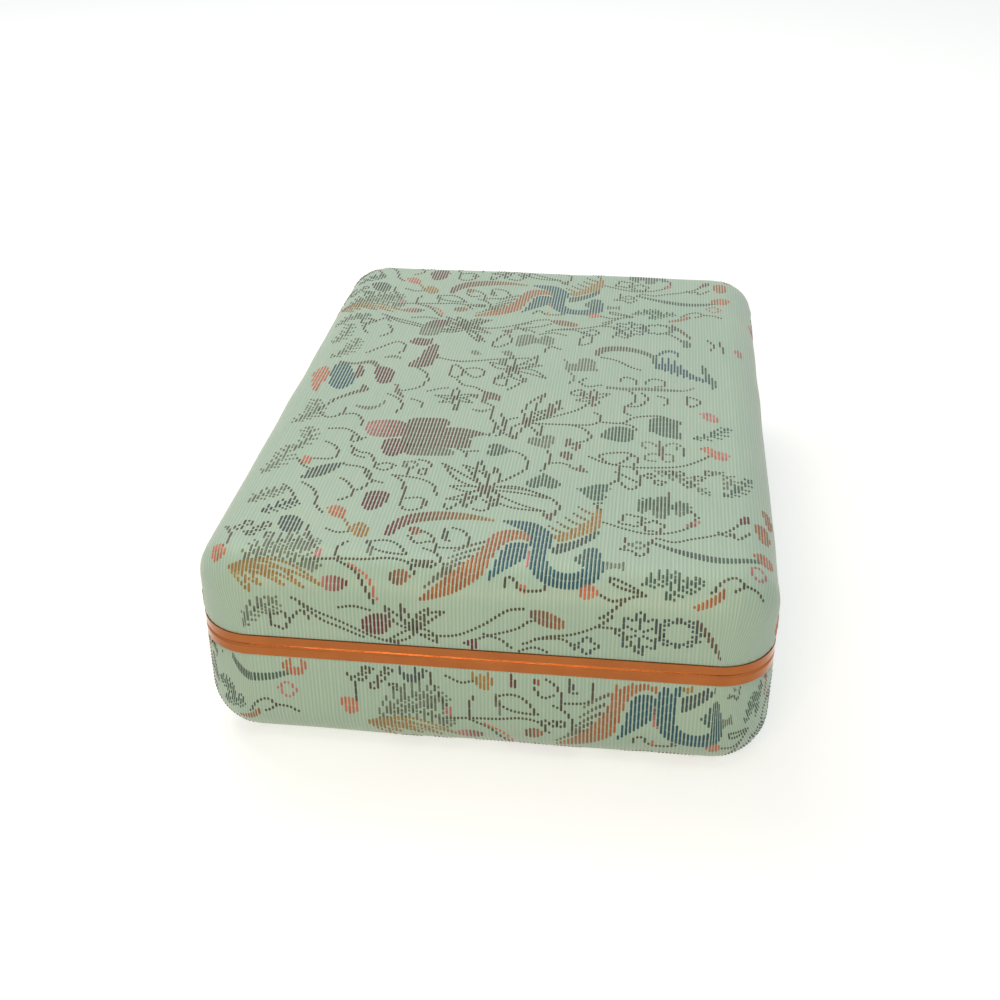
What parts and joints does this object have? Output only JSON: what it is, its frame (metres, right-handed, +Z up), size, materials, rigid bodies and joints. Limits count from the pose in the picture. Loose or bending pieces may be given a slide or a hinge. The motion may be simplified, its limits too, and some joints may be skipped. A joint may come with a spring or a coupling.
{
  "type": "brocade keepsake box",
  "caption": "Rounded clamshell keepsake box covered in woven silk brocade, with copper-coloured metal rims at the seam, a rear hinge, a front catch and a padded satin interior.",
  "frame": {"origin": "centre of the flat underside on which the closed case stands", "axes": "+Z up from the table, +Y towards the hinge along the longer side, +X to the right as seen from the front"},
  "size_m": [0.127, 0.1877, 0.049],
  "materials": {
    "silk_brocade": "woven silk brocade, satin sheen",
    "rose_gold_rim": "polished rose gold plate on brass",
    "hinge_pin": "drawn wire with peened heads",
    "spring_steel": "cold rolled, nickel plated",
    "shell_board": "vacuum formed, matte",
    "wadding": "bonded polyester fibre",
    "card": "pressed grey card",
    "foam": "soft open-cell foam",
    "satin": "champagne satin, soft gloss"
  },
  "bodies": {
    "base": {"base_shell": "shell_board", "base_brocade": "silk_brocade", "base_rim": "rose_gold_rim", "base_liner_card": "card", "base_liner_satin": "satin", "floor_pad_card": "card", "floor_pad_foam": "foam", "floor_pad_satin": "satin", "hinge_pin": "hinge_pin", "catch_spring": "spring_steel", "catch_rivets": "spring_steel"},
    "lid": {"lid_shell": "shell_board", "lid_wadding": "wadding", "lid_brocade": "silk_brocade", "lid_rim": "rose_gold_rim", "lid_liner_card": "card", "lid_liner_satin": "satin", "lid_pad_card": "card", "lid_pad_foam": "foam", "lid_pad_satin": "satin"}
  },
  "joints": [
    {"name": "lid_hinge", "type": "hinge", "parent": "base", "child": "lid", "pos_m": [0, 0.0935, 0.0285], "axis": [-1, 0, 0], "range_deg": [0, 100]}
  ]
}
